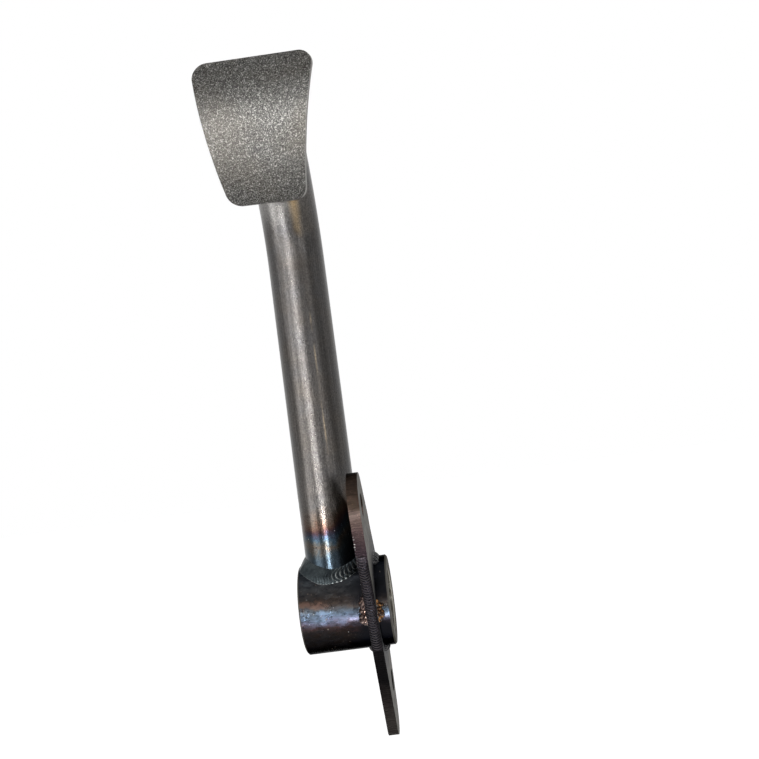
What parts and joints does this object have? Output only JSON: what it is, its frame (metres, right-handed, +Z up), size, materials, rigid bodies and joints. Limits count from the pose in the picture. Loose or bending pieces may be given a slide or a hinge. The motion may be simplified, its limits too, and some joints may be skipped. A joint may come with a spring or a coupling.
{
  "type": "clutch pedal",
  "caption": "Welded clutch pedal: a pivot sleeve with a bent tube arm, a bowed foot pad and a flat lever plate that reaches up and down from the pivot.",
  "frame": {"origin": "centre of the pivot bore, halfway along the hub", "axes": "+X along the pivot bore towards the lever plate's side, +Z up the arm to the pad, and the pad's face looks along -Y"},
  "size_m": [0.0689, 0.0885, 0.39],
  "materials": {
    "hub_steel": "satin, heat tinted",
    "tube_steel": "satin",
    "plate_steel": "mill scale with cut edges",
    "pad_steel": "blasted",
    "weld_bead": "satin, heat tinted"
  },
  "bodies": {
    "root": {"pivot_hub": "hub_steel", "arm_tube": "tube_steel", "lever_plate": "plate_steel", "pad_plate": "pad_steel", "weld_arm_foot": "weld_bead", "weld_lever_outer": "weld_bead", "weld_lever_inner": "weld_bead", "weld_pad": "weld_bead"}
  },
  "joints": []
}
